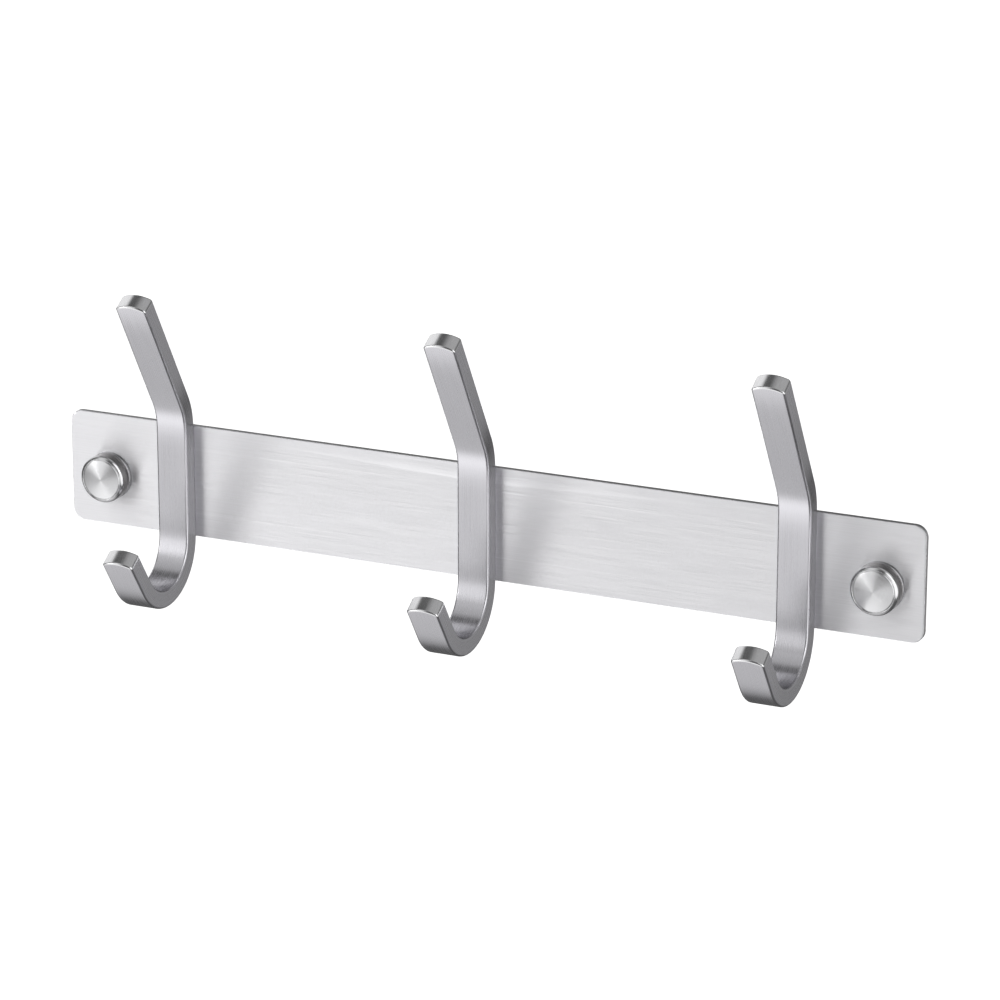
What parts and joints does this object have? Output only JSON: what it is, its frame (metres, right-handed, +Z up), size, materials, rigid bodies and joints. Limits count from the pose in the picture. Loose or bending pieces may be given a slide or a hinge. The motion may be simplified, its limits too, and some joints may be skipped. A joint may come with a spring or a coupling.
{
  "type": "wall hook rack",
  "caption": "Flat steel wall rail with forward-leaning double coat hooks, screwed from behind, fixed through cap bases with round screw-on caps.",
  "frame": {"origin": "middle of the back plate's back face, which lies on the wall", "axes": "+X along the plate to the right as seen from the front, +Y into the wall, +Z up"},
  "size_m": [0.3, 0.079, 0.1066],
  "materials": {
    "plate_steel": "fine brushing along the plate",
    "hook_steel": "satin, brushed along the bar",
    "cap_steel": "turned: circular brushing on the face, polished bevel",
    "base_steel": "turned and polished",
    "screw_steel": "plain machined",
    "wall_screw_steel": "plain rolled thread",
    "plug_plastic": "moulded nylon"
  },
  "bodies": {
    "rack": {"back_plate": "plate_steel", "hook_left": "hook_steel", "hook_middle": "hook_steel", "hook_right": "hook_steel", "hook_screw_left_upper": "screw_steel", "hook_screw_left_lower": "screw_steel", "hook_screw_middle_upper": "screw_steel", "hook_screw_middle_lower": "screw_steel", "hook_screw_right_upper": "screw_steel", "hook_screw_right_lower": "screw_steel", "cap_base_left": "base_steel", "cap_base_right": "base_steel", "wall_screw_left": "wall_screw_steel", "wall_screw_right": "wall_screw_steel", "wall_plug_left": "plug_plastic", "wall_plug_right": "plug_plastic"},
    "left_cap": {"screw_cap_left": "cap_steel"},
    "right_cap": {"screw_cap_right": "cap_steel"}
  },
  "joints": [
    {"name": "left_cap_unscrew", "type": "slide", "parent": "rack", "child": "left_cap", "axis": [0, -1, 0], "range_m": [0, 0.012]},
    {"name": "right_cap_unscrew", "type": "slide", "parent": "rack", "child": "right_cap", "axis": [0, -1, 0], "range_m": [0, 0.012]}
  ]
}
